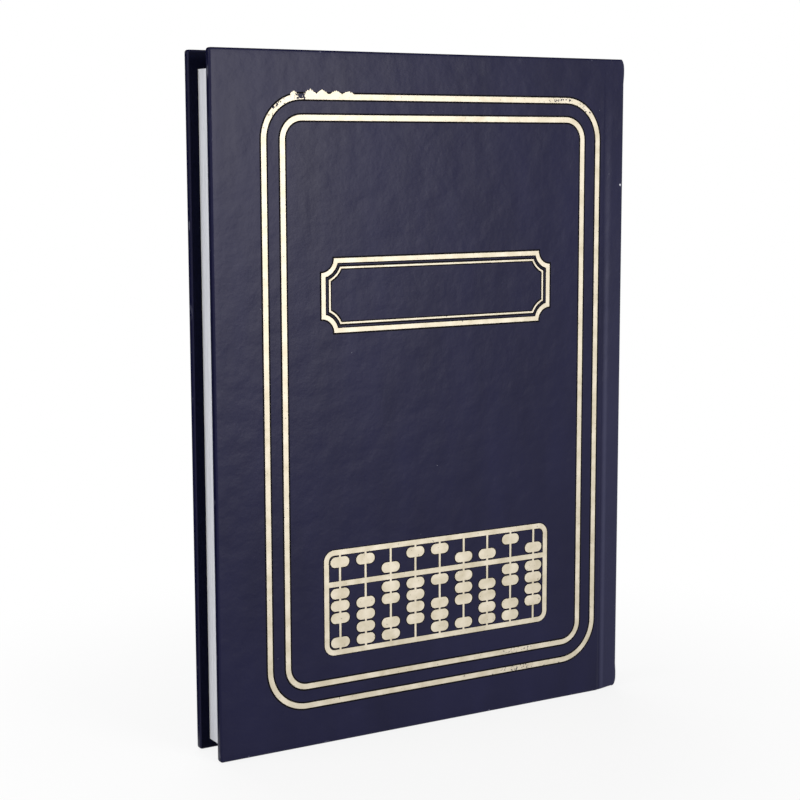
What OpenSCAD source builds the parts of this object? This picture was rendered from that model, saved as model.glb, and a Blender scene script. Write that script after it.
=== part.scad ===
// Hardback accounting ledger: a sewn text block in a cloth case with a pressed joint on each side.
// The ledger stands on its tail edge. X runs from the fore edge (-) to the spine (+), the front
// cover faces -Y and Z is up. The origin is the centre of the footprint.

/* [Pages] */
// Width of a leaf, from the fold line to the fore edge
page_w = 165; // [130:1:210]
// Height of a leaf
page_h = 235; // [180:1:300]
// Thickness of a ruled leaf
leaf_t = 0.1; // [0.08:0.01:0.16]
// Thickness of a flyleaf
flyleaf_t = 0.16; // [0.12:0.01:0.24]
// Thickness of one sewn section of folded leaves
section_t = 1.3; // [0.9:0.1:2]
// Number of sewn sections
section_count = 9; // [7:1:12]
// Ruled leaves that turn with the front cover
front_leaf_count = 6; // [3:1:7]
// Ruled leaves that turn with the back cover
back_leaf_count = 4; // [3:1:7]
// Air between neighbouring leaves and sections
leaf_air = 0.03; // [0.02:0.01:0.05]

/* [Overhang of the covers] */
// Overhang past the pages at the fore edge
fore_square = 3.8; // [2:0.1:6]
// Overhang past the pages at the head
head_square = 6.5; // [3:0.1:8]
// Overhang past the pages at the tail
tail_square = 3.5; // [2:0.1:8]

/* [Case] */
// Thickness of a cover board
board_t = 2.3; // [1.8:0.1:3]
// Thickness of the covering cloth
cloth_t = 0.35; // [0.25:0.05:0.45]
// Width of the cloth turned in over the board edges
turn_in = 15; // [10:1:20]
// Radius of the cover corners at the fore edge
corner_r = 1; // [0.8:0.1:4]
// Thickness of the paper pasted inside a cover
pastedown_t = 0.15; // [0.1:0.01:0.2]
// Air between a cover and its flyleaf
cover_gap = 0.1; // [0.05:0.05:0.3]
// Thickness of the spine strip
strip_t = 1.8; // [1.4:0.1:2.4]

/* [Joint] */
// Distance from the outside of the spine to the edge of a board
joint_w = 10.1; // [9:0.1:14]
// Width of the pressed groove
groove_w = 4.6; // [3:0.1:5]
// Depth of the pressed groove
groove_depth = 0.4; // [0.3:0.1:1.4]
// Room between the groove cloth and the board edge
groove_gap = 0.05; // [0.03:0.01:0.2]
// Running clearance between the hinged cloth and the spine edge
knuckle_gap = 0.1; // [0.05:0.05:0.3]

/* [Spine] */
// Thickness of a sewing tape
tape_t = 0.25; // [0.2:0.05:0.4]
// Width of a sewing tape
tape_w = 10; // [6:1:16]
// Number of sewing tapes
tape_count = 3; // [2:1:4]
// Diameter of the sewing thread
thread_d = 0.3; // [0.2:0.05:0.4]
// Distance of the kettle stitches from the head and the tail of the pages
kettle_inset = 10; // [6:1:16]
// Clearance round the thread in the glue
thread_gap = 0.03; // [0.02:0.01:0.05]
// Thickness of the glue over the thread
glue_cap = 0.05; // [0.03:0.01:0.1]
// Thickness of the open-weave mull
mull_t = 0.2; // [0.15:0.05:0.3]
// Distance of the mull from the head and the tail of the pages
mull_inset = 18; // [17:1:30]
// Width of mull pasted to each board
mull_flap_w = 25; // [15:1:40]
// Thickness of the paper lining on the spine
lining_t = 0.15; // [0.1:0.05:0.25]
// Hollow between the lining and the case
hollow_gap = 0.25; // [0.2:0.05:0.5]
// Diameter of the bead on a head or tail band
bead_d = 1.8; // [1.2:0.1:2.4]
// Height of the tongue that holds a band to the spine
band_tongue_h = 12; // [6:1:15]

/* [Foil] */
// Thickness of the stamped foil, set flush in the cloth
foil_t = 0.06; // [0.04:0.01:0.1]
// Distance of the foil frame from the fore edge
frame_fore_margin = 18.7; // [8:0.1:30]
// Distance of the foil frame from the outside of the spine
frame_spine_margin = 11.6; // [10.3:0.1:20]
// Distance of the foil frame from the head
frame_head_margin = 14.7; // [8:0.1:30]
// Distance of the foil frame from the tail
frame_tail_margin = 14.3; // [8:0.1:30]
// Width of each line of the frame
frame_line_w = 1.9; // [1:0.1:3]
// Space between the two lines of the frame
frame_line_gap = 5.2; // [2:0.1:6]
// Outer corner radius of the frame
frame_corner_r = 15.5; // [13:0.5:20]
// Width of the title plaque
plaque_w = 97; // [50:1:100]
// Height of the title plaque
plaque_h = 26; // [16:1:34]
// Distance of the middle of the plaque from the head
plaque_drop = 84; // [60:1:100]
// Radius of the scooped plaque corners
plaque_scoop_r = 5; // [2:0.5:7]
// Width of the outer plaque line
plaque_line_w = 1.6; // [0.8:0.1:2]
// Space between the two plaque lines
plaque_line_gap = 1.4; // [0.8:0.1:2]
// Width of the inner plaque line
plaque_fine_w = 0.6; // [0.4:0.1:1]
// Number of abacus rods
rod_count = 9; // [5:1:9]
// Distance between abacus rods
rod_pitch = 10.5; // [8.5:0.1:11]
// Width of an abacus rod line
rod_w = 0.8; // [0.5:0.1:1.2]
// Width of an abacus bead
bead_w = 7.6; // [5:0.1:8]
// Height of an abacus bead
bead_h = 3.8; // [2:0.1:5]
// Space between abacus beads
bead_gap = 0.7; // [0.4:0.1:1.2]
// Free travel of the beads on a rod
bead_travel = 4.4; // [2:0.1:6]
// Width of the abacus frame line
abacus_line_w = 1.9; // [1:0.1:3]
// Corner radius of the abacus frame
abacus_corner_r = 4; // [3:0.5:6]
// Distance of the abacus from the tail
abacus_rise = 32; // [30:1:60]
// Height of a spine rule
spine_rule_h = 1.2; // [0.6:0.1:2]
// Space between the two rules of a pair
spine_rule_gap = 2; // [1:0.1:4]
// Distance of the spine rules from the edges of the spine
spine_rule_inset = 2.4; // [2:0.1:4]
// Distance of the upper pair of spine rules from the head
upper_rules_drop = 48; // [20:1:80]
// Distance of the lower pair of spine rules from the head
lower_rules_drop = 113; // [90:1:150]

/* [Hidden] */
$fn = 48;
// Counts on one abacus rod: beads under the beam, and the value of the bead above it
lower_beads = 4;
upper_bead_value = 5;

// Thickness through the spine edge, which the case is hinged round
knuckle_r = strip_t / 2 + cloth_t;
glue_t = tape_t + thread_d + glue_cap;
stitch_reach = tape_w / 2 + thread_d / 2 + thread_gap;
// How far a cutting shape runs past the face that it cuts
cut_past = 1;
spine_stack = glue_t + mull_t + lining_t + hollow_gap;
case_w = fore_square + page_w + spine_stack + 2 * knuckle_r;
case_h = tail_square + page_h + head_square;

// Thickness from the outside of a cover inwards
cover_t = 2 * cloth_t + board_t;
flyleaf_depth = cover_t + pastedown_t + cover_gap;
leaf_pitch = leaf_t + leaf_air;
section_pitch = section_t + leaf_air;
function leaf_depth(i) = flyleaf_depth + flyleaf_t + leaf_air + (i - 1) * leaf_pitch;
front_stack = leaf_depth(front_leaf_count + 1);
back_stack = leaf_depth(back_leaf_count + 1);
sections_t = section_count * section_pitch - leaf_air;
case_t = front_stack + sections_t + back_stack;

// Planes across the width
fore_x = -case_w / 2;
spine_x = case_w / 2;
page_x = fore_x + fore_square;
fold_x = page_x + page_w;
mull_x = fold_x + glue_t;
lining_x = mull_x + mull_t;
knuckle_x = spine_x - knuckle_r;
board_end_x = spine_x - joint_w;
joint_end_x = knuckle_x - knuckle_r - knuckle_gap;

// Planes through the thickness
front_y = -case_t / 2;
board_in_y = front_y + cloth_t + board_t;
sections_y = front_y + front_stack;
knuckle_y = case_t / 2 - knuckle_r;
function section_y(i) = sections_y + (i - 1) * section_pitch;

// Planes up the height
page_z = tail_square;
page_top = page_z + page_h;
function tape_z(i) = page_z + page_h * i / (tape_count + 1);

// The groove is pressed by a rod, so its cloth is an arc that just clears the board edge
groove_r = (pow(groove_w / 2, 2) + pow(groove_depth, 2)) / (2 * groove_depth);
groove_y = front_y - (groove_r - groove_depth);
groove_out_r = groove_r + cloth_t;
groove_reach = sqrt(pow(groove_out_r, 2) - pow(front_y + cloth_t - groove_y, 2));
groove_x = board_end_x + groove_reach + groove_gap;

// Foil layout on the front cover
frame_x = fore_x + frame_fore_margin;
frame_end_x = spine_x - frame_spine_margin;
frame_z = frame_tail_margin;
frame_end_z = case_h - frame_head_margin;
foil_mid_x = (frame_x + frame_end_x) / 2;
frame_inset = frame_line_w + frame_line_gap;
abacus_w = (rod_count - 1) * rod_pitch + bead_w + 2 * (bead_gap + abacus_line_w);
lower_deck_h = lower_beads * (bead_h + bead_gap) + bead_gap + bead_travel;
upper_deck_h = bead_h + 2 * bead_gap + bead_travel;
abacus_h = lower_deck_h + upper_deck_h + 3 * abacus_line_w;
beam_z = abacus_rise + abacus_line_w + lower_deck_h;
function rod_x(i) = foil_mid_x + (i - (rod_count - 1) / 2) * rod_pitch;
function rod_value(i) = (7 * i + 3) % 10;

navy = "#303145";
gold = "#e9dcaf";
paper = "#e4e6ea";
greyboard = "#8d8a84";
linen = "#d8cfbd";
glue = "#e6dcc0";

// Shared shapes

// A box between two corners
module block(low, high) {
    translate(low) cube(high - low);
}

// Pieces are drawn for the front cover, and the back cover mirrors them
module back_side() {
    mirror([0, 1, 0]) children();
}

// A plate between two depths under the front face, from an outline drawn in X and Z
module front_plate(depth, end_depth) {
    translate([0, front_y + end_depth, 0]) rotate([90, 0, 0])
        linear_extrude(end_depth - depth) children();
}

// Outline from the fore edge to the joint, with rounded fore-edge corners
module cover_outline(inset, end_x, r) {
    x = fore_x + inset;
    translate([x + r, inset]) square([end_x - x - r, case_h - 2 * inset]);
    translate([x, inset + r]) square([2 * r, case_h - 2 * (inset + r)]);
    for (z = [inset + r, case_h - inset - r]) translate([x + r, z]) circle(r);
}

// Rectangle with rounded corners between two corners
module rounded_rect(low, high, r) {
    size = high - low;
    translate(low + [r, 0]) square([size[0] - 2 * r, size[1]]);
    translate(low + [0, r]) square([size[0], size[1] - 2 * r]);
    for (x = [low[0] + r, high[0] - r], z = [low[1] + r, high[1] - r])
        translate([x, z]) circle(r);
}

// One closed line of the given width, just inside a rounded rectangle
module rounded_line(low, high, r, w) {
    difference() {
        rounded_rect(low, high, r);
        rounded_rect(low + [w, w], high - [w, w], r - w);
    }
}

// Rectangle with scooped corners, shrunk evenly by inset
module scooped_rect(inset) {
    half = [plaque_w / 2, plaque_h / 2];
    difference() {
        square(2 * (half - [inset, inset]), center = true);
        for (sx = [-1, 1], sz = [-1, 1])
            translate([sx * half[0], sz * half[1]]) circle(plaque_scoop_r + inset);
    }
}

// Straight bar with round ends, centred, lying along X
module pill(w, h) {
    square([w - h, h], center = true);
    for (s = [-1, 1]) translate([s * (w - h) / 2, 0]) circle(h / 2);
}

// Cross section of the spine strip grown by a layer
module spine_section(grow) {
    r = strip_t / 2 + grow;
    translate([knuckle_x - r, -knuckle_y]) square([2 * r, 2 * knuckle_y]);
    for (s = [-1, 1]) translate([knuckle_x, s * knuckle_y]) circle(r);
}

// Cover boards and their cloth

module cover_board() {
    front_plate(cloth_t, cloth_t + board_t)
        cover_outline(cloth_t, board_end_x, corner_r - cloth_t);
}

// Cloth over the outside of a board, round three edges and turned in
module board_cloth() {
    inner_depth = cloth_t + board_t;
    difference() {
        front_plate(0, cover_t) cover_outline(0, board_end_x, corner_r);
        cover_board();
        block([fore_x + turn_in, front_y + inner_depth, turn_in],
              [spine_x, front_y + cover_t + cloth_t, case_h - turn_in]);
    }
}

// Cloth of the joint, pressed into the groove
module joint_cloth() {
    linear_extrude(case_h) {
        difference() {
            translate([board_end_x, front_y]) square([joint_end_x - board_end_x, cloth_t]);
            translate([groove_x, groove_y]) circle(groove_r);
        }
        intersection() {
            difference() {
                translate([groove_x, groove_y]) circle(groove_out_r);
                translate([groove_x, groove_y]) circle(groove_r);
            }
            translate([board_end_x, front_y]) square([joint_end_x - board_end_x, cover_t]);
        }
    }
}

module cover_cloth() {
    board_cloth();
    joint_cloth();
}

// End of the mull, pasted to the inside of a board next to the joint
module mull_flap() {
    block([board_end_x - mull_flap_w, board_in_y, page_z + mull_inset],
          [board_end_x, board_in_y + mull_t, page_top - mull_inset]);
}

// Paper pasted inside a cover, filling the hollow between the turned-in edges
module pastedown() {
    difference() {
        block([page_x, board_in_y, page_z],
              [board_end_x, board_in_y + cloth_t + pastedown_t, page_top]);
        board_cloth();
        mull_flap();
    }
}

module front_board() {
    color(greyboard) cover_board();
}

module back_board() {
    color(greyboard) back_side() cover_board();
}

module front_cloth() {
    color(navy) difference() {
        cover_cloth();
        frame_foil();
        plaque_foil();
        abacus_foil();
    }
}

module back_cloth() {
    color(navy) back_side() cover_cloth();
}

module front_mull_flap() {
    color(linen) mull_flap();
}

module back_mull_flap() {
    color(linen) back_side() mull_flap();
}

module front_pastedown() {
    color(paper) pastedown();
}

module back_pastedown() {
    color(paper) back_side() pastedown();
}

// Stamped foil, flush with the cloth

module frame_foil() {
    low = [frame_x, frame_z];
    high = [frame_end_x, frame_end_z];
    inset = [frame_inset, frame_inset];
    front_plate(0, foil_t) {
        rounded_line(low, high, frame_corner_r, frame_line_w);
        rounded_line(low + inset, high - inset, frame_corner_r - frame_inset, frame_line_w);
    }
}

module plaque_foil() {
    fine_inset = plaque_line_w + plaque_line_gap;
    front_plate(0, foil_t) translate([foil_mid_x, case_h - plaque_drop]) {
        difference() {
            scooped_rect(0);
            scooped_rect(plaque_line_w);
        }
        difference() {
            scooped_rect(fine_inset);
            scooped_rect(fine_inset + plaque_fine_w);
        }
    }
}

// Beads of one abacus rod, pushed to the beam by the value that the rod shows
module rod_beads(value) {
    pitch = bead_h + bead_gap;
    raised = value % upper_bead_value;
    for (k = [0:lower_beads - 1]) {
        at_beam = k < raised;
        z = at_beam ? beam_z - bead_gap - bead_h / 2 - k * pitch
                    : beam_z - lower_deck_h + bead_gap + bead_h / 2 + (lower_beads - 1 - k) * pitch;
        translate([0, z]) pill(bead_w, bead_h);
    }
    upper_z = beam_z + abacus_line_w + bead_gap + bead_h / 2;
    lift = value >= upper_bead_value ? 0 : bead_travel;
    translate([0, upper_z + lift]) pill(bead_w, bead_h);
}

module abacus_foil() {
    low = [foil_mid_x - abacus_w / 2, abacus_rise];
    high = [foil_mid_x + abacus_w / 2, abacus_rise + abacus_h];
    front_plate(0, foil_t) {
        rounded_line(low, high, abacus_corner_r, abacus_line_w);
        translate([low[0] + abacus_line_w / 2, beam_z]) square([abacus_w - abacus_line_w, abacus_line_w]);
        for (i = [0:rod_count - 1]) translate([rod_x(i), 0]) {
            translate([-rod_w / 2, abacus_rise + abacus_line_w / 2])
                square([rod_w, abacus_h - abacus_line_w]);
            rod_beads(rod_value(i));
        }
    }
}

module front_foil_frame() {
    color(gold) frame_foil();
}

module front_foil_plaque() {
    color(gold) plaque_foil();
}

module front_foil_abacus() {
    color(gold) abacus_foil();
}

// Two pairs of plain rules across the spine
module spine_rules() {
    half_w = case_t / 2 - spine_rule_inset;
    for (drop = [upper_rules_drop, lower_rules_drop], k = [0, 1]) {
        z = case_h - drop + k * (spine_rule_h + spine_rule_gap);
        block([spine_x - foil_t, -half_w, z], [spine_x, half_w, z + spine_rule_h]);
    }
}

module spine_foil() {
    color(gold) spine_rules();
}

// Spine of the case

module strip_solid() {
    translate([0, 0, cloth_t]) linear_extrude(case_h - 2 * cloth_t) spine_section(0);
}

module spine_strip() {
    color(greyboard) strip_solid();
}

// Cloth round the outside and both edges of the strip, turned in at head and tail
module spine_cloth() {
    strip_in_x = knuckle_x - strip_t / 2;
    color(navy) difference() {
        linear_extrude(case_h) spine_section(cloth_t);
        strip_solid();
        block([strip_in_x - 2 * cloth_t, -knuckle_y, turn_in], [strip_in_x, knuckle_y, case_h - turn_in]);
        spine_rules();
    }
}

// Spine of the text block, from the folds outwards

// A layer across the folds of all the sections
module spine_layer(x, end_x, z, end_z) {
    block([x, sections_y, z], [end_x, sections_y + sections_t, end_z]);
}

module tape_solid(i) {
    spine_layer(fold_x, fold_x + tape_t, tape_z(i) - tape_w / 2, tape_z(i) + tape_w / 2);
}

module tape(i) {
    color(linen) tape_solid(i);
}

// One stitch over a tape, with its two ends down to the fold
module stitch() {
    r = thread_d / 2;
    out_x = tape_t + r;
    translate([out_x, 0, -stitch_reach]) cylinder(r = r, h = 2 * stitch_reach);
    for (s = [-1, 1]) translate([0, 0, s * stitch_reach]) {
        rotate([0, 90, 0]) cylinder(r = r, h = out_x);
        translate([out_x, 0, 0]) sphere(r);
    }
}

// Places every stitch: one per section and tape
module at_stitches() {
    for (i = [1:section_count], k = [1:tape_count])
        translate([fold_x, section_y(i) + section_t / 2, tape_z(k)]) children();
}

// Places the threads that link the sections near the head and the tail
module at_kettles() {
    for (z = [page_z + kettle_inset, page_top - kettle_inset])
        translate([fold_x, sections_y, z]) children();
}

module sewing_thread() {
    color("white") {
        at_stitches() stitch();
        at_kettles() translate([thread_d / 2, 0, 0]) rotate([-90, 0, 0])
            cylinder(d = thread_d, h = sections_t);
    }
}

module spine_glue() {
    slot = thread_d / 2 + thread_gap;
    color(glue) difference() {
        spine_layer(fold_x, mull_x, page_z, page_top);
        for (i = [1:tape_count]) tape_solid(i);
        at_stitches()
            block([-cut_past, -slot, -stitch_reach - slot],
                  [glue_t + cut_past, slot, stitch_reach + slot]);
        at_kettles() block([-cut_past, -cut_past, -slot], [2 * slot, sections_t + cut_past, slot]);
    }
}

module mull() {
    color(linen) spine_layer(mull_x, lining_x, page_z + mull_inset, page_top - mull_inset);
}

module spine_lining() {
    color("#b59a72") spine_layer(lining_x, lining_x + lining_t, page_z, page_top);
}

// Corded band at the head of the spine, held by a tongue between the glue and the lining
module head_band() {
    r = bead_d / 2;
    color(linen) {
        spine_layer(mull_x, lining_x, page_top - band_tongue_h, page_top + r);
        translate([lining_x - r, sections_y, page_top + r]) rotate([-90, 0, 0])
            cylinder(r = r, h = sections_t);
    }
}

module tail_band() {
    translate([0, 0, page_z + page_top]) mirror([0, 0, 1]) head_band();
}

// Sections and leaves

// Folded leaves sewn through the fold, which is round
module section(i) {
    r = section_t / 2;
    color(paper) translate([0, section_y(i), page_z]) linear_extrude(page_h) {
        translate([page_x, 0]) square([page_w - r, section_t]);
        translate([fold_x - r, r]) circle(r);
    }
}

module sheet(depth, t) {
    color(paper)
        block([page_x, front_y + depth, page_z], [fold_x, front_y + depth + t, page_top]);
}

module front_flyleaf() {
    sheet(flyleaf_depth, flyleaf_t);
}

module back_flyleaf() {
    back_side() sheet(flyleaf_depth, flyleaf_t);
}

module front_leaf(i) {
    sheet(leaf_depth(i), leaf_t);
}

module back_leaf(i) {
    back_side() sheet(leaf_depth(i), leaf_t);
}

front_board();
front_cloth();
front_mull_flap();
front_pastedown();
front_foil_frame();
front_foil_plaque();
front_foil_abacus();
back_board();
back_cloth();
back_mull_flap();
back_pastedown();
spine_strip();
spine_cloth();
spine_foil();
spine_lining();
mull();
spine_glue();
sewing_thread();
head_band();
tail_band();
front_flyleaf();
back_flyleaf();
for (i = [1:tape_count]) tape(i);
for (i = [1:section_count]) section(i);
for (i = [1:front_leaf_count]) front_leaf(i);
for (i = [1:back_leaf_count]) back_leaf(i);
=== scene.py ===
"""Looks of a hardback accounting ledger: leatherette case, stamped foil and ruled, sewn pages.

Metres, +Z up. The front cover faces -Y, the spine is at +X and the ledger stands on its tail edge.
Pieces are drawn for the front cover, and the back cover mirrors them in Y.
"""
import math
import random

import bmesh
import bpy
from mathutils import Matrix, Quaternion, Vector


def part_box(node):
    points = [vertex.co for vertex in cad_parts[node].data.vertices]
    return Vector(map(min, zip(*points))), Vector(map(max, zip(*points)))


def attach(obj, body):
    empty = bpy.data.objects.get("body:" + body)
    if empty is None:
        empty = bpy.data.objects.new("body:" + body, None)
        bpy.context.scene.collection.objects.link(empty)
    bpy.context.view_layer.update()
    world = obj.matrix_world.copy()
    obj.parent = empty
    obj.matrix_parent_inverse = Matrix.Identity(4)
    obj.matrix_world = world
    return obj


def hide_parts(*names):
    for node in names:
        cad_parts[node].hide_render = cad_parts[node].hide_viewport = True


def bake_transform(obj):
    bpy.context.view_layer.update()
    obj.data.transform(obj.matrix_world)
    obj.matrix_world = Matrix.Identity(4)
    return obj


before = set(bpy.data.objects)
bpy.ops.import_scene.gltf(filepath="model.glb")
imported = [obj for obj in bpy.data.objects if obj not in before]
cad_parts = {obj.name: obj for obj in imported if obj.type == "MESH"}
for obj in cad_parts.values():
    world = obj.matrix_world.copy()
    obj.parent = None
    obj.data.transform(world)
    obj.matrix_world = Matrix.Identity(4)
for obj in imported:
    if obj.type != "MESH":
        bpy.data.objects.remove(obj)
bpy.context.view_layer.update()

MM = 0.001
TINY = 1e-6
FRONT, BACK = "front", "back"

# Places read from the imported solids
cloth_low, cloth_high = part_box("front_cloth")
board_low, board_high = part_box("front_board")
spine_low, spine_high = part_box("spine_cloth")
page_low, page_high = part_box("front_flyleaf")
FORE_X = cloth_low.x
FRONT_Y = cloth_low.y
CASE_H = cloth_high.z
COVER_IN_Y = cloth_high.y
PASTE_IN_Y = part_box("front_pastedown")[1].y
CLOTH_T = board_low.y - cloth_low.y
BOARD_END_X = board_high.x
SPINE_X = spine_high.x
SPINE_R = (spine_high.x - spine_low.x) / 2
KNUCKLE_X = SPINE_X - SPINE_R
PAGE_X, FOLD_X = page_low.x, page_high.x
PAGE_Z, PAGE_TOP = page_low.z, page_high.z

# Sizes of the case's finish
FOIL_PROUD = 0.03 * MM
CORNER_R = 1.0 * MM  # fore corners of the covers
RIM_R = 0.8 * MM  # edges of the covers
RIM_BAND = 1.6 * MM  # width in which the rubbing of a rim fades
PRESSED_W, BEAD_PRESSED_W = 0.6 * MM, 0.34 * MM  # dark edge round the foil, and round the beads: scorching, and painted shade of the pressed edge
PRESSED_TOP, PRESSED_FOOT = 0.5 * FOIL_PROUD, 2 * FOIL_PROUD  # its faces, below the foil's face
FLASH_TOP = 0.25 * FOIL_PROUD
FLASH_FOOT = 0.45 * MM  # overlap with the frame's line
GROOVE_DEPTH = 0.16 * MM
GROOVE_START, GROOVE_WALL, GROOVE_RISE = 0.3 * MM, 0.9 * MM, 3.4 * MM
GROOVE_FADE = 45 * MM  # height below the head in which the groove deepens
GROOVE_PALING_AND_HIGHLIGHT, JOINT_PALING_AND_HIGHLIGHT = 2.8, 0.3  # paling and painted highlight on the groove's rise, and beyond it
PALING_AND_HIGHLIGHT_SHARE = 0.6  # share of the height, from the head, in which the paling and painted highlight grow
TAIL_LIFT, TAIL_LIFT_H = 0.8 * MM, 20 * MM
CAP_CUT, CAP_CUT_H = 1.5 * MM, 3.2 * MM
CAP_BULGE, CAP_BULGE_H = 0.3 * MM, 9 * MM
CAP_EDGE_R = 0.4 * MM
LEATHERETTE_SHINE = 0.158  # specular level, also where the foil is rubbed off

# Sizes of the text block's finish
LEAF_BEND = 16 * MM
LEAVES_IN_SECTION = 12
LEAF_FILL = 0.9  # share of its room that a leaf takes up
CUT_SPREAD = 0.03 * MM
BAND_PITCH = 0.95 * MM
BAND_WAIST = 0.85  # radius between two wraps, as a share of the full one

SHARP_ANGLE = math.radians(40)
FACING = 0.9  # part of a normal along an axis from which a face counts as facing it


# Mesh helpers

def add_slab(bm, low, high):
    """A box between two corners."""
    low, high = Vector(low), Vector(high)
    place = Matrix.Translation((low + high) / 2) @ Matrix.Diagonal((high - low).to_4d())
    bmesh.ops.create_cube(bm, size=1.0, matrix=place)


def round_edges(bm, edges, radius, segments):
    """Rounds edges and returns the vertices of the new arcs."""
    made = bmesh.ops.bevel(bm, geom=edges, offset=radius, offset_type="OFFSET", segments=segments,
                           profile=0.5, affect="EDGES", material=-1)
    return made["verts"]


def cut_across(bm, axis, places):
    """Adds a loop of edges at each place along an axis."""
    normal = Vector((axis == 0, axis == 1, axis == 2))
    for place in places:
        everything = bm.verts[:] + bm.edges[:] + bm.faces[:]
        bmesh.ops.bisect_plane(bm, geom=everything, dist=TINY, plane_co=normal * place,
                               plane_no=normal)


def thicken(bm, depth):
    """Gives a sheet that faces the front its thickness, inwards."""
    inner = bmesh.ops.extrude_face_region(bm, geom=bm.faces[:])["geom"]
    inner_verts = [part for part in inner if isinstance(part, bmesh.types.BMVert)]
    bmesh.ops.translate(bm, vec=(0, depth, 0), verts=inner_verts)
    bmesh.ops.recalc_face_normals(bm, faces=bm.faces)


def steps_between(start, end, count):
    """Both ends of a stretch, and the places that share it evenly."""
    return [start + (end - start) * k / count for k in range(count + 1)]


def ease(t):
    """Smooth step from 0 to 1."""
    t = min(max(t, 0.0), 1.0)
    return t * t * (3 - 2 * t)


def lies_along(edge, axis):
    """True for an edge that runs along one axis."""
    run = edge.verts[1].co - edge.verts[0].co
    return abs(run[axis]) > run.length - TINY


def add_piece(name, bm, materials, stands_for, side=FRONT):
    """Makes the object of a finished mesh. Cloth and paper patterns follow its places at rest."""
    if side == BACK:
        bmesh.ops.scale(bm, vec=(1, -1, 1), verts=bm.verts)
        bmesh.ops.reverse_faces(bm, faces=bm.faces)
    rest = bm.verts.layers.float_vector.new("rest")
    for vert in bm.verts:
        vert[rest] = vert.co
    mesh = bpy.data.meshes.new(name)
    bm.to_mesh(mesh)
    bm.free()
    for material in materials:
        mesh.materials.append(material)
    mesh.shade_smooth()
    mesh.set_sharp_from_angle(angle=SHARP_ANGLE)
    piece = bpy.data.objects.new(name, mesh)
    bpy.context.scene.collection.objects.link(piece)
    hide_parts(*stands_for)
    return piece


# Material helpers

SHARE, FIRST, SECOND = 0, 6, 7  # sockets of a Mix node that mixes colours
MATT = {"Roughness": 0.9, "Specular IOR Level": 0.2}


def linear(hex_colour):
    """An sRGB hex colour as linear RGBA."""
    channels = [int(hex_colour[k:k + 2], 16) / 255 for k in (0, 2, 4)]
    return [c / 12.92 if c <= 0.04045 else ((c + 0.055) / 1.055) ** 2.4 for c in channels] + [1.0]


def set_inputs(tree, node, inputs):
    """Gives inputs their values or links. A node stands for the first of its outputs in use."""
    for socket, value in inputs.items():
        if isinstance(value, bpy.types.Node):
            value = next(output for output in value.outputs if output.enabled)
        if isinstance(value, bpy.types.NodeSocket):
            tree.links.new(value, node.inputs[socket])
        else:
            node.inputs[socket].default_value = value


def add_node(tree, kind, inputs=None, **settings):
    """Adds a shader node with its settings, values and links."""
    node = tree.nodes.new("ShaderNode" + kind)
    for name, value in settings.items():
        setattr(node, name, value)
    set_inputs(tree, node, inputs or {})
    return node


def new_material(name, values, follows_rest=False):
    """A material with the shader's plain values set, and the place that its patterns read."""
    material = bpy.data.materials.new(name)
    material.use_nodes = True
    tree = material.node_tree
    shader = tree.nodes["Principled BSDF"]
    set_inputs(tree, shader, values)
    if follows_rest:
        place = add_node(tree, "Attribute", attribute_name="rest").outputs["Vector"]
    else:
        place = add_node(tree, "TexCoord").outputs["Object"]
    return material, tree, shader, place


# Materials

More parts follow.
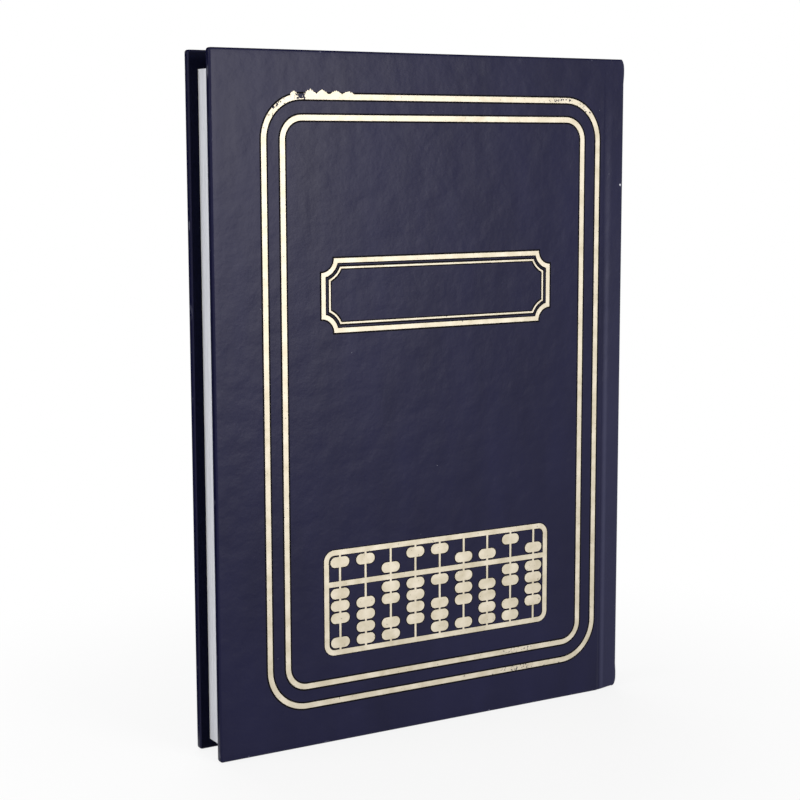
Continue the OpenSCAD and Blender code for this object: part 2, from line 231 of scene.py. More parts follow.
def navy_leatherette():
    """Leatherette: cloth with an embossed vinyl skin. Deep navy and satin, with a fine pebble grain,
    a soft mottle from the rollers and a faint unevenness from the board below. It is paler where the
    joint flexes, and there it also carries a painted highlight that grows towards the tail. It is grey
    where rims are rubbed or knocked, it has specks of dust, and one chip at the spine's edge bares the
    white base cloth."""
    mottle_w, scuff_w, pebble_w, uneven_w, dust_gap = 16 * MM, 2.2 * MM, 0.8 * MM, 8 * MM, 9 * MM
    pebble_depth, uneven_depth = 0.025 * MM, 0.29 * MM
    knock_place, knock_reach = (FORE_X + 0.3 * MM, FRONT_Y, 22 * MM), 9 * MM
    chip_place, chip_rag = (KNUCKLE_X - 0.3 * MM, FRONT_Y, 198 * MM), 0.9 * MM
    chip_out, chip_in = 0.95 * MM, 0.65 * MM
    material, tree, skin, place = new_material(
        "navy_leatherette",
        {"IOR": 1.5, "Specular IOR Level": LEATHERETTE_SHINE, "Specular Tint": linear("f9f5ff")},
        follows_rest=True)
    rub = add_node(tree, "Attribute", attribute_name="rub").outputs["Fac"]
    # Paling where the joint flexes, with a painted highlight on the groove's rise that grows towards the
    # tail
    flex_and_highlight = add_node(tree, "Attribute", attribute_name="flex_and_highlight").outputs["Fac"]
    streaks = add_node(tree, "Mapping", {"Vector": place, "Scale": (1, 1, 0.3)})
    mottle = add_node(tree, "TexNoise", {"Vector": streaks, "Scale": 1 / mottle_w, "Detail": 4})
    scuff = add_node(tree, "TexNoise", {"Vector": streaks, "Scale": 1 / scuff_w, "Detail": 5})
    dust = add_node(tree, "TexVoronoi", {"Vector": place, "Scale": 1 / dust_gap})
    speck = add_node(tree, "MapRange", {"Value": dust, "From Min": 0.016, "From Max": 0.01})

    knock = add_node(tree, "VectorMath", {0: place, 1: knock_place}, operation="DISTANCE")
    knock = add_node(tree, "MapRange", {"Value": knock, "From Max": knock_reach, "To Min": 1.3,
                                        "To Max": 0.0})
    rub = add_node(tree, "Math", {0: rub, 1: knock}, operation="MAXIMUM")
    worn = add_node(tree, "Math", {0: scuff, 1: rub}, operation="MULTIPLY")
    worn = add_node(tree, "MapRange", {"Value": worn, "From Min": 0.64, "From Max": 0.76})

    chip = add_node(tree, "VectorMath", {0: place, 1: chip_place}, operation="DISTANCE")
    chip = add_node(tree, "Math", {0: scuff, 1: chip_rag, 2: chip}, operation="MULTIPLY_ADD")
    chip = add_node(tree, "MapRange", {"Value": chip, "From Min": chip_out, "From Max": chip_in})

    tone = add_node(tree, "MapRange", {"Value": mottle, "From Min": 0.3, "From Max": 0.7})
    colour = linear("0d0e2a")
    for share, hex_colour in ((tone, "111231"), (flex_and_highlight, "36374f"), (worn, "6a6b7e"),
                              (speck, "8a8b98"), (chip, "c8c8d0")):
        colour = add_node(tree, "Mix", {SHARE: share, FIRST: colour, SECOND: linear(hex_colour)},
                          data_type="RGBA")
    gloss = add_node(tree, "MapRange", {"Value": mottle, "To Min": 0.32, "To Max": 0.4})
    dull = add_node(tree, "Math", {0: worn, 1: 0.25, 2: gloss}, operation="MULTIPLY_ADD")

    uneven = add_node(tree, "TexNoise", {"Vector": place, "Scale": 1 / uneven_w, "Detail": 5,
                                         "Roughness": 0.46})
    swell = add_node(tree, "Bump", {"Height": uneven, "Strength": 1.0, "Distance": uneven_depth})
    pebble = add_node(tree, "TexVoronoi", {"Vector": place, "Scale": 1 / pebble_w},
                      feature="SMOOTH_F1")
    relief = add_node(tree, "Bump", {"Height": pebble, "Strength": 0.35, "Distance": pebble_depth,
                                     "Normal": swell})
    set_inputs(tree, skin, {"Base Color": colour, "Roughness": dull, "Normal": relief})
    return material


def stamped_foil():
    """Hot-stamped foil: a bright metal film under pale gold lacquer, finely wrinkled. It has a few
    pinholes, and it has flaked off to the navy where hands and shelves rub the frame."""
    lacquer_w, flake_w, wrinkle_w, wrinkle_depth = 5 * MM, 0.7 * MM, 0.6 * MM, 0.03 * MM
    # Each rubbed spot's x and z on the front and its reach in x and z, in mm, and its strength
    rubbed_spots = [(-52.2, 229.6, 3, 2.6, 0.45), (-61, 226.5, 9, 6, 0.16),
                    (57, 229.4, 12, 3.2, 0.2), (67, 225, 6, 6, 0.14), (40, 15, 18, 18, 0.13)]
    material, tree, film, place = new_material("stamped_gold_foil",
                                               {"Specular IOR Level": LEATHERETTE_SHINE})
    lacquer = add_node(tree, "TexNoise", {"Vector": place, "Scale": 1 / lacquer_w, "Detail": 3})
    loose = add_node(tree, "TexNoise", {"Vector": place, "Scale": 1 / flake_w, "Detail": 4})
    for x, z, reach_x, reach_z, strength in rubbed_spots:
        centre, shrink = (x * MM, FRONT_Y, z * MM), (1 / (reach_x * MM), 0, 1 / (reach_z * MM))
        away = add_node(tree, "VectorMath", {0: place, 1: centre}, operation="SUBTRACT")
        away = add_node(tree, "VectorMath", {0: away, 1: shrink}, operation="MULTIPLY")
        away = add_node(tree, "VectorMath", {0: away}, operation="LENGTH")
        weak = add_node(tree, "MapRange", {"Value": away, "To Min": strength, "To Max": 0.0})
        loose = add_node(tree, "Math", {0: loose, 1: weak}, operation="ADD")
    bare = add_node(tree, "MapRange", {"Value": loose, "From Min": 0.7, "From Max": 0.73})

    tone = add_node(tree, "MapRange", {"Value": lacquer, "From Min": 0.3, "From Max": 0.7})
    colour = linear("a59c88")
    for share, hex_colour in ((tone, "bdb5a5"), (bare, "15162e")):
        colour = add_node(tree, "Mix", {SHARE: share, FIRST: colour, SECOND: linear(hex_colour)},
                          data_type="RGBA")
    metal = add_node(tree, "MapRange", {"Value": bare, "To Min": 1.0, "To Max": 0.0})
    rough = add_node(tree, "MapRange", {"Value": lacquer, "To Min": 0.45, "To Max": 0.57})
    wrinkle = add_node(tree, "TexNoise", {"Vector": place, "Scale": 1 / wrinkle_w, "Detail": 2})
    relief = add_node(tree, "Bump", {"Height": wrinkle, "Strength": 0.25, "Distance": wrinkle_depth})
    set_inputs(tree, film, {"Base Color": colour, "Metallic": metal, "Roughness": rough,
                            "Normal": relief})
    return material


def ruled_paper():
    """Ledger paper: smooth, bright and faintly fibrous, with blue feint lines and red columns."""
    fibre_w, fibre_depth = 1.4 * MM, 0.02 * MM
    feint_pitch, feint_w, red_w = 8 * MM, 0.22 * MM, 0.3 * MM
    head_h, foot_h, fore_w = 30 * MM, 12 * MM, 1 * MM
    columns = [16, 17.2, 34, 96, 97.2, 122, 123.2, 148, 149.2]  # mm from the fore edge
    head_lines = [22 * MM, head_h, head_h + 1.2 * MM]  # from the top
    material, tree, sheet, place = new_material(
        "ruled_ledger_paper", {"Roughness": 0.72, "Specular IOR Level": 0.3}, follows_rest=True)
    x, _, z = add_node(tree, "SeparateXYZ", {"Vector": place}).outputs

    rise = add_node(tree, "Math", {0: z, 1: PAGE_Z + foot_h}, operation="SUBTRACT")
    row = add_node(tree, "Math", {0: rise, 1: feint_pitch}, operation="FLOORED_MODULO")
    feint = add_node(tree, "Math", {0: row, 1: feint_w}, operation="LESS_THAN")
    above_foot = add_node(tree, "Math", {0: rise, 1: -TINY}, operation="GREATER_THAN")
    below_head = add_node(tree, "Math", {0: z, 1: PAGE_TOP - head_h}, operation="LESS_THAN")
    for limit in (above_foot, below_head):
        feint = add_node(tree, "Math", {0: feint, 1: limit}, operation="MULTIPLY")

    red = 0.0
    red_lines = [(x, PAGE_X + column * MM) for column in columns]
    red_lines += [(z, PAGE_TOP - drop) for drop in head_lines]
    for across, line in red_lines:
        mark = add_node(tree, "Math", {0: across, 1: line, 2: red_w / 2}, operation="COMPARE")
        red = add_node(tree, "Math", {0: red, 1: mark}, operation="MAXIMUM")

    inside = add_node(tree, "Math", {0: x, 1: PAGE_X + fore_w}, operation="GREATER_THAN")
    fibre = add_node(tree, "TexNoise", {"Vector": place, "Scale": 1 / fibre_w, "Detail": 6})
    colour = add_node(tree, "Mix", {SHARE: fibre, FIRST: linear("dfe1e2"), SECOND: linear("efefec")},
                      data_type="RGBA")
    for ink, hex_colour in ((feint, "9fb4cc"), (red, "c98186")):
        printed = add_node(tree, "Math", {0: ink, 1: inside}, operation="MULTIPLY")
        colour = add_node(tree, "Mix", {SHARE: printed, FIRST: colour, SECOND: linear(hex_colour)},
                          data_type="RGBA")
    relief = add_node(tree, "Bump", {"Height": fibre, "Strength": 0.2, "Distance": fibre_depth})
    set_inputs(tree, sheet, {"Base Color": colour, "Normal": relief})
    return material


def cut_paper():
    """Guillotined paper edges: matt and cool white, with fine streaks along the leaves. A leaf is too
    thin to show, so a streak is drawn as wide as a few of them."""
    streak_w, streak_depth = 0.35 * MM, 0.05 * MM
    material, tree, edge, place = new_material(
        "cut_paper_edge", {"Roughness": 0.85, "Specular IOR Level": 0.2}, follows_rest=True)
    layers = add_node(tree, "Mapping", {"Vector": place, "Scale": (0.02, 1, 0.02)})
    streak = add_node(tree, "TexNoise", {"Vector": layers, "Scale": 1 / streak_w, "Detail": 3})
    tone = add_node(tree, "MapRange", {"Value": streak, "From Min": 0.25, "From Max": 0.75})
    colour = add_node(tree, "Mix", {SHARE: tone, FIRST: linear("d6d8e0"), SECOND: linear("f2f3f9")},
                      data_type="RGBA")
    relief = add_node(tree, "Bump", {"Height": streak, "Strength": 0.4, "Distance": streak_depth})
    set_inputs(tree, edge, {"Base Color": colour, "Normal": relief})
    return material


def striped_band():
    """Cotton thread with a silky sheen: every other wrap of the band is navy, the rest cream."""
    strand_w, strand_depth = 0.25 * MM, 0.05 * MM
    material, tree, band, place = new_material(
        "striped_band_cotton", {"Roughness": 0.6, "Sheen Weight": 0.3}, follows_rest=True)
    along = add_node(tree, "SeparateXYZ", {"Vector": place}).outputs["Y"]
    turn = add_node(tree, "Math", {0: along, 1: 2 * BAND_PITCH}, operation="FLOORED_MODULO")
    navy = add_node(tree, "Math", {0: turn, 1: BAND_PITCH}, operation="LESS_THAN")
    strand = add_node(tree, "TexNoise", {"Vector": place, "Scale": 1 / strand_w, "Detail": 3})
    colour = linear("cfc4a8")
    for share, hex_colour in ((strand, "f0e8d4"), (navy, "2a2c4c")):
        colour = add_node(tree, "Mix", {SHARE: share, FIRST: colour, SECOND: linear(hex_colour)},
                          data_type="RGBA")
    relief = add_node(tree, "Bump", {"Height": strand, "Strength": 0.4, "Distance": strand_depth})
    set_inputs(tree, band, {"Base Color": colour, "Normal": relief})
    return material


def speckled(name, dark, light, size, values, follows_rest=False, stretch=(1, 1, 1),
             depth=0.03 * MM):
    """A stock whose fibres or crumbs show as a fine two-tone speckle with a slight relief."""
    material, tree, stock, place = new_material(name, values, follows_rest)
    drawn = add_node(tree, "Mapping", {"Vector": place, "Scale": stretch})
    grain = add_node(tree, "TexNoise", {"Vector": drawn, "Scale": 1 / size, "Detail": 6,
                                        "Roughness": 0.6})
    tone = add_node(tree, "MapRange", {"Value": grain, "From Min": 0.3, "From Max": 0.7})
    colour = add_node(tree, "Mix", {SHARE: tone, FIRST: linear(dark), SECOND: linear(light)},
                      data_type="RGBA")
    relief = add_node(tree, "Bump", {"Height": grain, "Strength": 0.3, "Distance": depth})
    set_inputs(tree, stock, {"Base Color": colour, "Normal": relief})
    return material


def woven(name, dark, light, pitch):
    """Plain-woven cotton: two sets of threads, up the height and across the thickness."""
    thread_depth = 0.1 * MM
    scale = math.pi / (10 * pitch)  # a wave texture repeats every pi / 10 of its scale
    material, tree, cloth, place = new_material(name, MATT)
    waves = [add_node(tree, "TexWave", {"Vector": place, "Scale": scale, "Distortion": 0.4},
                      bands_direction=way).outputs["Fac"] for way in "YZ"]
    weave = add_node(tree, "Math", {0: waves[0], 1: waves[1]}, operation="MAXIMUM")
    colour = add_node(tree, "Mix", {SHARE: weave, FIRST: linear(dark), SECOND: linear(light)},
                      data_type="RGBA")
    relief = add_node(tree, "Bump", {"Height": weave, "Strength": 0.5, "Distance": thread_depth})
    set_inputs(tree, cloth, {"Base Color": colour, "Normal": relief})
    return material


LEATHERETTE = navy_leatherette()
FOIL = stamped_foil()
RULED = ruled_paper()
PAGE_EDGE = cut_paper()
BAND = striped_band()
# Leatherette under the edge of the hot stamp, pressed flat and scorched: nearly black and dull, which
# also paints the shade of the pressed-in edge
PRESSED_SHADE = speckled("pressed_leatherette_shade", "0b0a0c", "151316", 0.5 * MM,
                   {"Roughness": 0.8, "Specular IOR Level": 0.05}, follows_rest=True)
# Leatherette turned in over the boards: darker and with hardly any shine, as painted shade, since it
# lies out of the light
SHADED_TURN_IN = speckled("turned_in_leatherette_shade", "050616", "0a0c24", 0.8 * MM,
                   {"Roughness": 0.6, "Specular IOR Level": 0.05}, follows_rest=True)
# Wove paper: uncoated, so warm white and matt, with soft clouds
ENDPAPER = speckled("wove_endpaper", "e2e1da", "f1f0ea", 2 * MM, {"Roughness": 0.8},
                    follows_rest=True)
# Greyboard: pressed from waste paper, so grey and matt, with coarse fibres
GREYBOARD = speckled("pressed_greyboard", "77736c", "9a968e", 0.9 * MM, MATT, depth=0.1 * MM)
# Kraft paper: unbleached, so tan and matt, with fibres drawn along the spine
KRAFT = speckled("kraft_paper", "a4865c", "c2a87e", 0.8 * MM, MATT, stretch=(1, 1, 0.15))
# Bookbinding glue: dried to a cloudy cream skin with some gloss
GLUE = speckled("dried_bookbinding_glue", "d8c79a", "efe4c6", 3 * MM, {"Roughness": 0.35},
                depth=0.1 * MM)
# Linen thread: twisted and waxed, so off-white, with a dull gloss
THREAD = speckled("waxed_linen_thread", "d8d2c4", "f4f1e8", 0.2 * MM, {"Roughness": 0.6})
# Mull: starched gauze with an open weave, so its threads stand out
GAUZE = woven("starched_mull_gauze", "a89f8c", "e6dfcf", 0.9 * MM)
# Sewing tape: close cotton weave, so pale and even
TAPE = woven("cotton_sewing_tape", "bfb6a2", "ece6d8", 0.5 * MM)


# Pieces of the case

def paling_and_highlight(z):
    """How far the leatherette pales at a height, from flexing and a painted highlight: not at the head,
    fully below the middle.
    """
    return ease((CASE_H - z) / (PALING_AND_HIGHLIGHT_SHARE * CASE_H))


def tail_lift(x, z):
    """How far the case is drawn up at the tail, towards the spine."""
    towards_spine = ease((x - BOARD_END_X) / (KNUCKLE_X - BOARD_END_X))
    return TAIL_LIFT * towards_spine * max(0, 1 - z / TAIL_LIFT_H)


def groove_share(x):
    """Share of the groove's depth: it drops beside the board and rises gently to the spine."""
    reach = x - BOARD_END_X - GROOVE_START
    return ease(reach / GROOVE_WALL) * (1 - ease((reach - GROOVE_WALL) / GROOVE_RISE))


def board_wrap(side):
    """Leatherette drawn tight round a board, with round fore corners, rubbed rims, and turn-ins darkened
    as painted shade.
    """
    bm = bmesh.new()
    add_slab(bm, (FORE_X, FRONT_Y + FOIL_PROUD, 0), (BOARD_END_X, COVER_IN_Y, CASE_H))
    corners = [e for e in bm.edges if lies_along(e, 1) and e.verts[0].co.x < FORE_X + TINY]
    round_edges(bm, corners, CORNER_R, segments=6)
    rims = [e for e in bm.edges if not lies_along(e, 1)
            and min(v.co.x for v in e.verts) < BOARD_END_X - TINY]
    round_edges(bm, rims, RIM_R, segments=5)
    cut_across(bm, 0, [FORE_X + RIM_R + RIM_BAND])
    cut_across(bm, 2, [RIM_R + RIM_BAND, CASE_H - RIM_R - RIM_BAND])
    rub = bm.verts.layers.float.new("rub")
    for vert in bm.verts:
        inset = min(vert.co.x - FORE_X, vert.co.z, CASE_H - vert.co.z)
        vert[rub] = 1.0 if inset < RIM_R + TINY else 0.0
    bm.normal_update()
    # Faces inside the cover take the turn-in leatherette, darkened as painted shade
    for face in bm.faces:
        face.material_index = 1 if face.normal.y > FACING else 0
    piece = add_piece(side + "_board_wrap", bm, [LEATHERETTE, SHADED_TURN_IN],
                      [side + "_cloth"], side)
    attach(piece, side + "_cover")


def joint_rows():
    """Height and inset of each row of the joint cloth, which is rounded over at tail and head."""
    arc = [(RIM_R * (1 - math.cos(t)), RIM_R * (1 - math.sin(t)))
           for t in steps_between(0, math.pi / 2, count=6)]
    straight = [(z, 0.0) for z in steps_between(RIM_R, CASE_H - RIM_R, count=36)[1:-1]]
    return arc + straight + [(CASE_H - z, inset) for z, inset in reversed(arc)]


def joint_cloth(side):
    """Leatherette from the board across the pressed groove to the edge of the spine."""
    rows = joint_rows()
    bm = bmesh.new()
    bmesh.ops.create_grid(bm, x_segments=80, y_segments=len(rows) - 1, size=0.5)
    flex_and_highlight = bm.verts.layers.float.new("flex_and_highlight")
    for vert in bm.verts:
        across, up = vert.co.x + 0.5, vert.co.y + 0.5
        x = BOARD_END_X + (KNUCKLE_X - BOARD_END_X) * across
        z, inset = rows[round(up * (len(rows) - 1))]
        share = groove_share(x)
        # Past the groove's wall the cloth pales with flexing and a painted highlight, more towards the
        # tail
        past_wall = x - BOARD_END_X - GROOVE_START - GROOVE_WALL
        if past_wall > 0:
            on_rise = GROOVE_PALING_AND_HIGHLIGHT * share * (1 - share)
            beyond = JOINT_PALING_AND_HIGHLIGHT * ease(past_wall / GROOVE_RISE)
            vert[flex_and_highlight] = paling_and_highlight(z) * max(on_rise, beyond)
        seat = FOIL_PROUD * (1 - across)
        depth = GROOVE_DEPTH * share * ease((CASE_H - z) / GROOVE_FADE)
        vert.co = (x, FRONT_Y + seat + depth + inset, z + tail_lift(x, z))
    thicken(bm, CLOTH_T)
    piece = add_piece(side + "_joint_cloth", bm, [LEATHERETTE], [side + "_cloth"],
                      side)
    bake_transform(piece)


def pressed_shade_rim(node, width):
    """Narrow dark edge that the hot stamp pressed into the leatherette, scorched and in painted shade: a
    wider copy under the foil.
    """
    bm = bmesh.new()
    bm.from_mesh(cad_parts[node].data)
    bmesh.ops.remove_doubles(bm, verts=bm.verts, dist=TINY)
    bm.normal_update()
    moves = [(vert, vert.normal * vert.calc_shell_factor() * width) for vert in bm.verts]
    for vert, move in moves:
        drop = PRESSED_TOP if vert.co.y < FRONT_Y + TINY else PRESSED_FOOT
        vert.co += move
        vert.co.y = FRONT_Y + drop
    bm.normal_update()
    piece = add_piece(node + "_pressed_shade", bm, [PRESSED_SHADE], ["front_cloth"])
    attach(piece, "front_cover")


def foil_flash(jitter):
    """Ragged foil that stuck to the leatherette beyond the frame's upper line, near the fore corner."""
    # Each lump's x, half width and height, in mm
    lumps = [(-55, 1.3, 0.9), (-48.7, 2.4, 1.6), (-44, 2.2, 1.5), (-38.6, 2.3, 1.3),
             (-33.8, 2.3, 1.1)]
    roundness, least, most = 1.7, 0.6, 1.1
    line_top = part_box("front_foil_frame")[1].z
    bm = bmesh.new()
    for centre, half_w, height in lumps:
        for vert in bmesh.ops.create_grid(bm, x_segments=18, y_segments=1, size=1.0)["verts"]:
            rise = height * MM * (1 - abs(vert.co.x) ** roundness) * jitter.uniform(least, most)
            z = line_top + (rise if vert.co.y > 0 else -FLASH_FOOT)
            vert.co = ((centre + half_w * vert.co.x) * MM, FRONT_Y + FLASH_TOP, z)
    thicken(bm, FOIL_PROUD)
    piece = add_piece("front_foil_flash", bm, [FOIL], ["front_cloth"])
    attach(piece, "front_cover")


def cap_offset(z):
    """How far the spine's outer face moves near head and tail: cut back at the end, swollen next."""
    drop = min(z, CASE_H - z)
    swell = CAP_BULGE * math.sin(math.pi * drop / CAP_BULGE_H) if drop < CAP_BULGE_H else 0.0
    if drop >= CAP_CUT_H:
        return swell
    return swell - CAP_CUT * (1 - math.sqrt(1 - (1 - drop / CAP_CUT_H) ** 2))


def spine_wrap():
    """Leatherette round the spine strip, with soft caps where the cloth is turned in."""
    bm = bmesh.new()
    add_slab(bm, (spine_low.x, spine_low.y, 0), (SPINE_X - FOIL_PROUD, spine_high.y, CASE_H))
    long_edges = [e for e in bm.edges if lies_along(e, 2)]
    round_edges(bm, long_edges, SPINE_R - 2 * FOIL_PROUD, segments=8)
    caps = steps_between(0, CAP_BULGE_H, count=16)[1:]
    cut_across(bm, 2, caps + [CASE_H - z for z in caps])
    for vert in bm.verts:
        outward = (vert.co.x - spine_low.x) / (SPINE_X - spine_low.x)
        vert.co.x += outward * cap_offset(vert.co.z)
    ends = [e for e in bm.edges if all(min(v.co.z, CASE_H - v.co.z) < TINY for v in e.verts)]
    rub = bm.verts.layers.float.new("rub")
    for vert in round_edges(bm, ends, CAP_EDGE_R, segments=3):
        vert[rub] = 1.0
    # The spine pales towards the tail with flexing and a painted highlight
    flex_and_highlight = bm.verts.layers.float.new("flex_and_highlight")
    for vert in bm.verts:
        vert[flex_and_highlight] = JOINT_PALING_AND_HIGHLIGHT * paling_and_highlight(vert.co.z)
        vert.co.z += tail_lift(KNUCKLE_X, vert.co.z)
    piece = add_piece("spine_wrap", bm, [LEATHERETTE], ["spine_cloth"])
    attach(piece, "text_block")


def spine_core():
    """Greyboard strip inside the spine, cut short of the soft caps."""
    low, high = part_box("spine_strip")
    bm = bmesh.new()
    add_slab(bm, (low.x, low.y, low.z + CAP_CUT_H), (high.x, high.y, high.z - CAP_CUT_H))
    long_edges = [e for e in bm.edges if lies_along(e, 2)]
    round_edges(bm, long_edges, (high.x - low.x) / 2 - TINY, segments=6)
    piece = add_piece("spine_strip_board", bm, [GREYBOARD], ["spine_strip"])
    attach(piece, "text_block")


def endpaper(side):
    """Paper pasted inside a cover, carried across the joint to the first fold."""
    bm = bmesh.new()
    add_slab(bm, (PAGE_X, COVER_IN_Y, PAGE_Z), (FOLD_X, PASTE_IN_Y, PAGE_TOP))
    cut_across(bm, 0, steps_between(BOARD_END_X, FOLD_X, count=14)[:-1])
    piece = add_piece(side + "_endpaper", bm, [ENDPAPER], [side + "_pastedown"], side)
    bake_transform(piece)


# Pieces of the text block

def print_faces(bm):
    """The printed faces of the leaves take the first material, their cut edges the second."""
    bm.normal_update()
    for face in bm.faces:
        face.material_index = 0 if abs(face.normal.y) > FACING else 1


def turning_leaf(node, printed):
    """A leaf sewn at the fold, with loops of edges close to the fold."""
    low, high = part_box(node)
    bm = bmesh.new()
    add_slab(bm, low, high)
    cut_across(bm, 0, steps_between(FOLD_X - LEAF_BEND, FOLD_X, count=20)[:-1])
    print_faces(bm)
    piece = add_piece(node + "_sheet", bm, [printed, PAGE_EDGE], [node])
    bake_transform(piece)


def sewn_section(node, jitter):
    """Folded leaves nested in a round fold, each cut a hair differently."""
    low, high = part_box(node)
    fold_r = (high.y - low.y) / 2
    pitch = (high.y - low.y) / LEAVES_IN_SECTION
    bm = bmesh.new()
    for k in range(LEAVES_IN_SECTION):
        y = low.y + k * pitch
        off_centre = (k + 0.5) * pitch - fold_r
        fold_end = high.x - fold_r + math.sqrt(fold_r ** 2 - off_centre ** 2)
        fore, tail, head = (jitter.uniform(0, CUT_SPREAD) for _ in range(3))
        add_slab(bm, (low.x + fore, y, low.z + tail),
                 (fold_end, y + pitch * LEAF_FILL, high.z - head))
    print_faces(bm)
    piece = add_piece(node + "_leaves", bm, [RULED, PAGE_EDGE], [node])
    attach(piece, "text_block")


def corded_band(node):
    """Band at the end of the spine: thread wrapped round a core, on a cloth tongue."""
    points_in_wrap = 6
    low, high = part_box(node)
    mull_low, mull_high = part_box("mull")
    at_head = low.z > CASE_H / 2
    core_r = (mull_high.x - low.x) / 2
    core_x = mull_high.x - core_r
    core_z = high.z - core_r if at_head else low.z + core_r
    steps = round((high.y - low.y) / BAND_PITCH) * points_in_wrap
    profile = [Vector((core_x, low.y, core_z))]
    for k, y in enumerate(steps_between(low.y, high.y, steps)):
        swell = BAND_WAIST + (1 - BAND_WAIST) * abs(math.sin(math.pi * k / points_in_wrap))
        profile.append(Vector((core_x, y, core_z + core_r * swell)))
    profile.append(Vector((core_x, high.y, core_z)))
    bm = bmesh.new()
    verts = [bm.verts.new(point) for point in profile]
    edges = [bm.edges.new(pair) for pair in zip(verts, verts[1:])]
    bmesh.ops.spin(bm, geom=verts + edges, cent=profile[0], axis=(0, 1, 0), angle=2 * math.pi,
                   steps=18, use_merge=True)
    bmesh.ops.remove_doubles(bm, verts=bm.verts, dist=TINY)
    bmesh.ops.recalc_face_normals(bm, faces=bm.faces)
    tongue_low, tongue_high = (low.z, core_z) if at_head else (core_z, high.z)
    add_slab(bm, (mull_low.x, low.y, tongue_low), (mull_high.x, high.y, tongue_high))
    piece = add_piece(node + "_cord", bm, [BAND], [node])
    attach(piece, "text_block")


def dress_node(node, material):
    """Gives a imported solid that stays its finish."""
    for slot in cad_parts[node].material_slots:
        slot.material = material


# Camera, light and floor

def direction(azimuth, elevation):
    """The way from the ledger to a viewer or a lamp, by its angles in degrees from the front."""
    a, e = math.radians(azimuth), math.radians(elevation)
    return Vector((math.sin(a) * math.cos(e), -math.cos(a) * math.cos(e), math.sin(e)))


def add_camera():
    """The photograph's view: from the front left, a little above the middle."""
    back, roll = direction(azimuth=-30.86, elevation=7.93), math.radians(-0.15)
    target, distance = Vector((-7.33, 0, 120.73)) * MM, 647.9 * MM
    data = bpy.data.cameras.new("camera")
    data.sensor_width = 36.0
    data.lens = 79.7
    data.clip_start = 0.01
    camera = bpy.data.objects.new("camera", data)
    camera.location = target + back * distance
    camera.rotation_mode = "QUATERNION"
    camera.rotation_quaternion = (-back).to_track_quat("-Z", "Y") @ Quaternion((0, 0, 1), roll)
    bpy.context.scene.collection.objects.link(camera)
    bpy.context.scene.camera = camera


def add_softbox(name, azimuth, elevation, width, height, power):
    """A soft lamp that faces the middle of the ledger."""
    distance = 1.2
    back = direction(azimuth, elevation)
    data = bpy.data.lights.new(name, "AREA")
    data.shape = "RECTANGLE"
    data.size = width
    data.size_y = height
    data.energy = power
    lamp = bpy.data.objects.new(name, data)
    lamp.location = Vector((0, 0, CASE_H / 2)) + back * distance
    lamp.rotation_mode = "QUATERNION"
    lamp.rotation_quaternion = back.to_track_quat("Z", "Y")
    bpy.context.scene.collection.objects.link(lamp)


def add_flag(name, corners):
    """Black card that only reflections see: it keeps the edges of the case deep."""
    bm = bmesh.new()
    bm.faces.new([bm.verts.new(corner) for corner in corners])
    mesh = bpy.data.meshes.new(name)
    bm.to_mesh(mesh)
    bm.free()
    values = {"Base Color": linear("050505"), "Roughness": 1.0, "Specular IOR Level": 0.0}
    mesh.materials.append(new_material("black_card", values)[0])
    flag = bpy.data.objects.new(name, mesh)
    flag.visible_camera = flag.visible_diffuse = flag.visible_shadow = False
    bpy.context.scene.collection.objects.link(flag)


def seen_directly(tree):
    """One for rays from the camera, reflections and glass, which see plain white surroundings."""
    rays = add_node(tree, "LightPath").outputs
    direct = rays["Is Camera Ray"]
    for name in ("Is Glossy Ray", "Is Transmission Ray"):
        direct = add_node(tree, "Math", {0: direct, 1: rays[name]}, operation="MAXIMUM")
    return direct


def add_world(ambient):
    """White surroundings, which light the ledger at an ambient strength."""
    world = bpy.data.worlds.new("studio")
    world.use_nodes = True
    tree = world.node_tree
    strength = add_node(tree, "MapRange", {"Value": seen_directly(tree), "To Min": ambient,
                                           "To Max": 1.0})
    set_inputs(tree, tree.nodes["Background"], {"Color": linear("ffffff"), "Strength": strength})
    bpy.context.scene.world = world


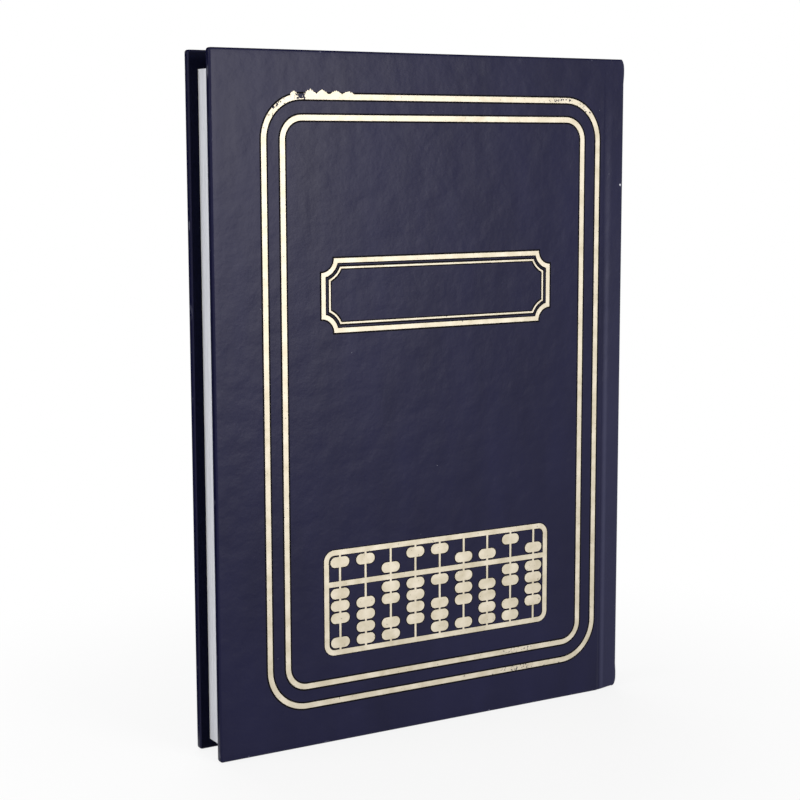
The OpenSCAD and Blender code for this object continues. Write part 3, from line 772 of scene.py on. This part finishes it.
def add_floor():
    """White floor that keeps the ledger's shadow and turns to plain white further off."""
    half_size, drop = 6.0, 0.05 * MM
    fade_start, fade_end, least_white = 0.08, 0.26, 0.85
    bm = bmesh.new()
    bmesh.ops.create_grid(bm, x_segments=1, y_segments=1, size=half_size)
    mesh = bpy.data.meshes.new("floor")
    bm.to_mesh(mesh)
    bm.free()
    floor = bpy.data.objects.new("floor", mesh)
    floor.location.z = -drop
    bpy.context.scene.collection.objects.link(floor)
    values = {"Base Color": linear("f6f6f6"), "Roughness": 0.9, "Specular IOR Level": 0.0}
    material, tree, paint, place = new_material("floor_paint", values)
    away = add_node(tree, "VectorMath", {0: place}, operation="LENGTH")
    far = add_node(tree, "MapRange", {"Value": away, "From Min": fade_start, "From Max": fade_end,
                                      "To Min": least_white}, interpolation_type="SMOOTHSTEP")
    fade = add_node(tree, "Math", {0: far, 1: seen_directly(tree)}, operation="MULTIPLY")
    white = add_node(tree, "Emission", {"Color": linear("ffffff"), "Strength": 1.0})
    mixed = add_node(tree, "MixShader", {0: fade, 1: paint, 2: white})
    set_inputs(tree, tree.nodes["Material Output"], {"Surface": mixed})
    mesh.materials.append(material)


# Making

add_camera()
add_softbox("key_softbox", azimuth=14.5, elevation=7.5, width=0.5, height=0.5, power=9.5)
add_softbox("fill_softbox", azimuth=-88, elevation=30, width=1.1, height=0.8, power=6.5)
add_softbox("back_softbox", azimuth=168, elevation=25, width=1.1, height=0.8, power=8.0)
add_world(ambient=0.3)
add_flag("left_flag", [(-0.9, 0.02, 0), (-0.088, 0.02, 0), (-0.088, 0.9, 0.6), (-0.9, 0.9, 0.6)])
add_flag("top_flag", [(-0.7, -0.1, 0.5), (0.7, -0.1, 0.5), (0.7, 0.9, 0.3), (-0.7, 0.9, 0.3)])
add_floor()
bpy.context.scene.view_settings.view_transform = "Standard"

for cover_side in (FRONT, BACK):
    board_wrap(cover_side)
    joint_cloth(cover_side)
    endpaper(cover_side)
    turning_leaf(cover_side + "_flyleaf", ENDPAPER)
spine_wrap()
spine_core()
foil_flash(random.Random(3))

section_cuts = random.Random(7)
for node_name in sorted(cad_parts):
    if node_name.startswith("section_"):
        sewn_section(node_name, section_cuts)
    elif "_leaf_" in node_name:
        turning_leaf(node_name, RULED)
    elif "foil" in node_name:
        dress_node(node_name, FOIL)
        if node_name.startswith(FRONT):
            pressed_shade_rim(node_name, BEAD_PRESSED_W if "abacus" in node_name else PRESSED_W)
    elif node_name.startswith("tape_"):
        dress_node(node_name, TAPE)
for node_name in ("head_band", "tail_band"):
    corded_band(node_name)
for node_name in ("front_board", "back_board"):
    dress_node(node_name, GREYBOARD)
for node_name in ("mull", "front_mull_flap", "back_mull_flap"):
    dress_node(node_name, GAUZE)
dress_node("spine_glue", GLUE)
dress_node("sewing_thread", THREAD)
dress_node("spine_lining", KRAFT)
